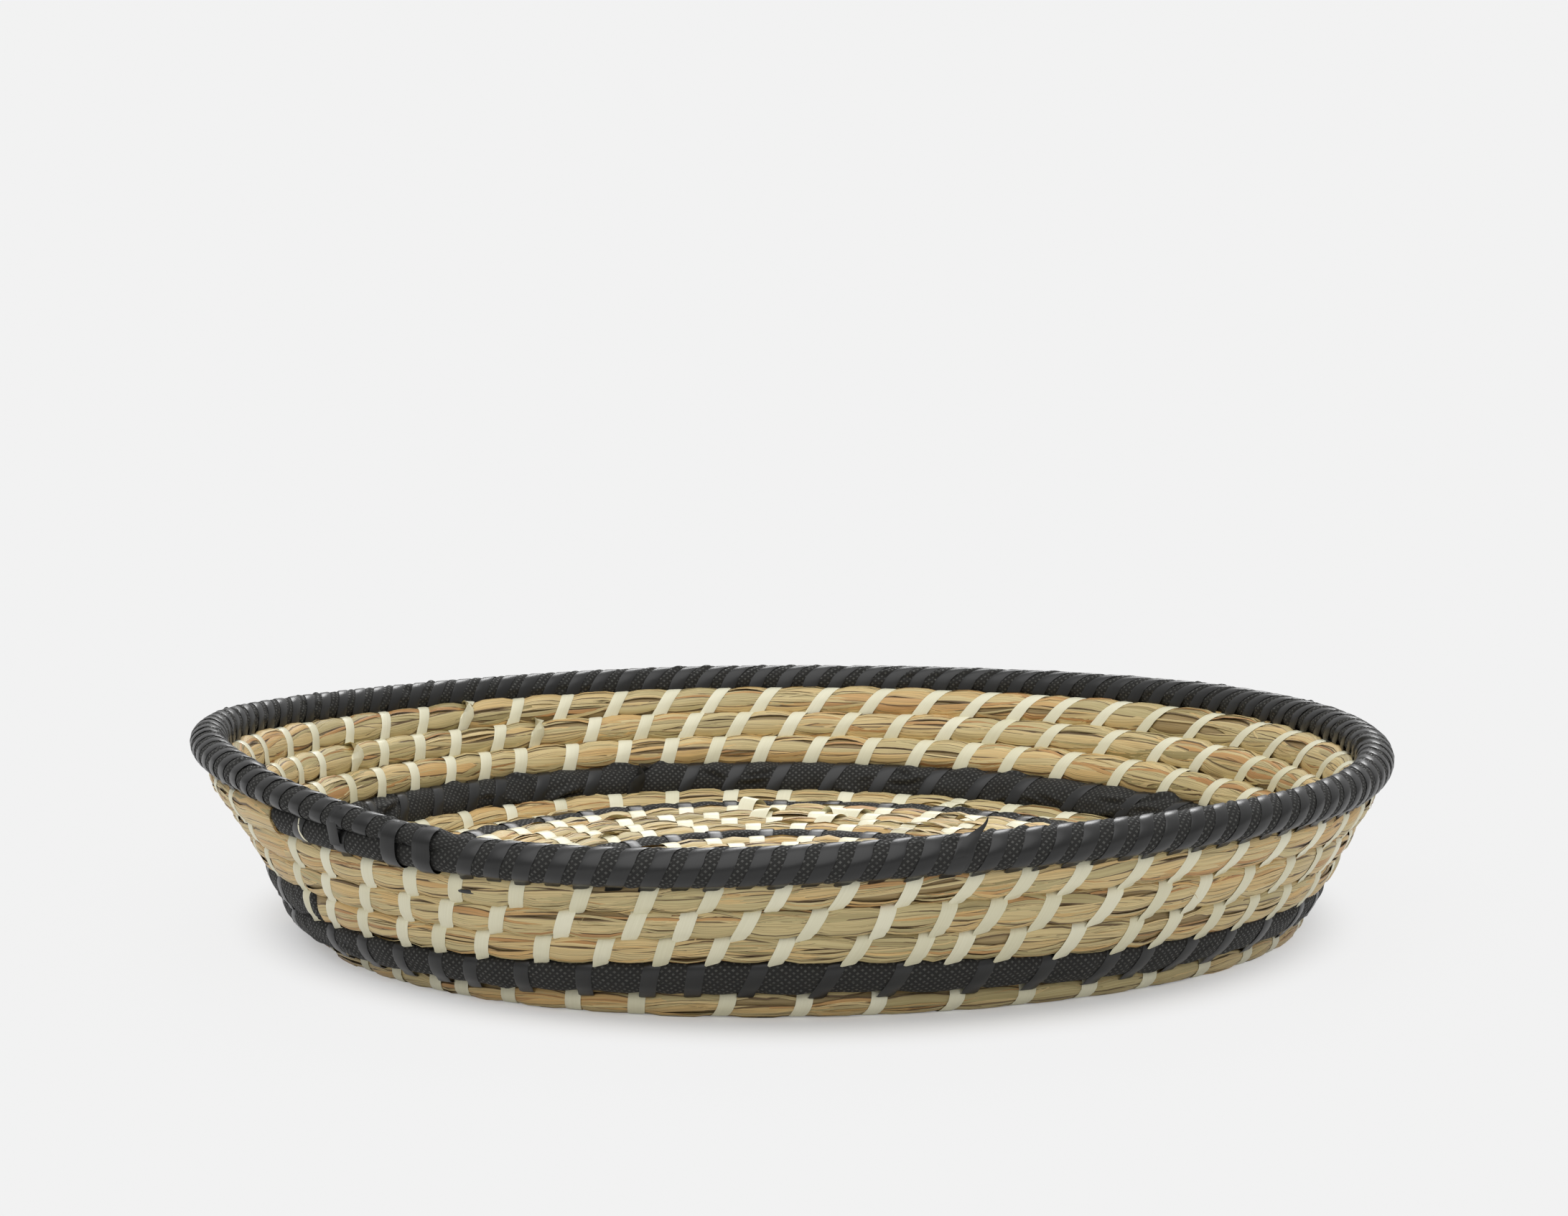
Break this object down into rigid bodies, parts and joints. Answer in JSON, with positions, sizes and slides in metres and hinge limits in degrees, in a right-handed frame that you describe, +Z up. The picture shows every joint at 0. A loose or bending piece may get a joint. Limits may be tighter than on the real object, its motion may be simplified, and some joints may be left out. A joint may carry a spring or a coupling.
{
  "type": "coiled grass basket",
  "caption": "Low round coiled grass basket with leaning walls, black sleeved rings, wall stripe and rim.",
  "frame": {"origin": "middle of the base, on the surface that the basket stands on", "axes": "+Z up, the basket's axis; +X to the right and -Y towards the viewer of the picture"},
  "size_m": [0.4536, 0.4505, 0.076],
  "materials": {
    "dried_grass": "dry straw, faintly glossy",
    "black_fabric": "matte, embossed with small diamonds",
    "cream_palm": "flat strip of palm leaf, satin",
    "black_strap": "flat black strip, half glossy"
  },
  "bodies": {
    "root": {"base_centre_coil": "dried_grass", "inner_ring_core": "dried_grass", "inner_ring_sleeve": "black_fabric", "base_middle_coil": "dried_grass", "outer_ring_core": "dried_grass", "outer_ring_sleeve": "black_fabric", "base_edge_coil": "dried_grass", "band_core": "dried_grass", "band_sleeve": "black_fabric", "wall_coil": "dried_grass", "rim_core": "dried_grass", "rim_sleeve": "black_fabric", "wall_strap": "cream_palm", "rim_strap": "black_strap"}
  },
  "joints": []
}
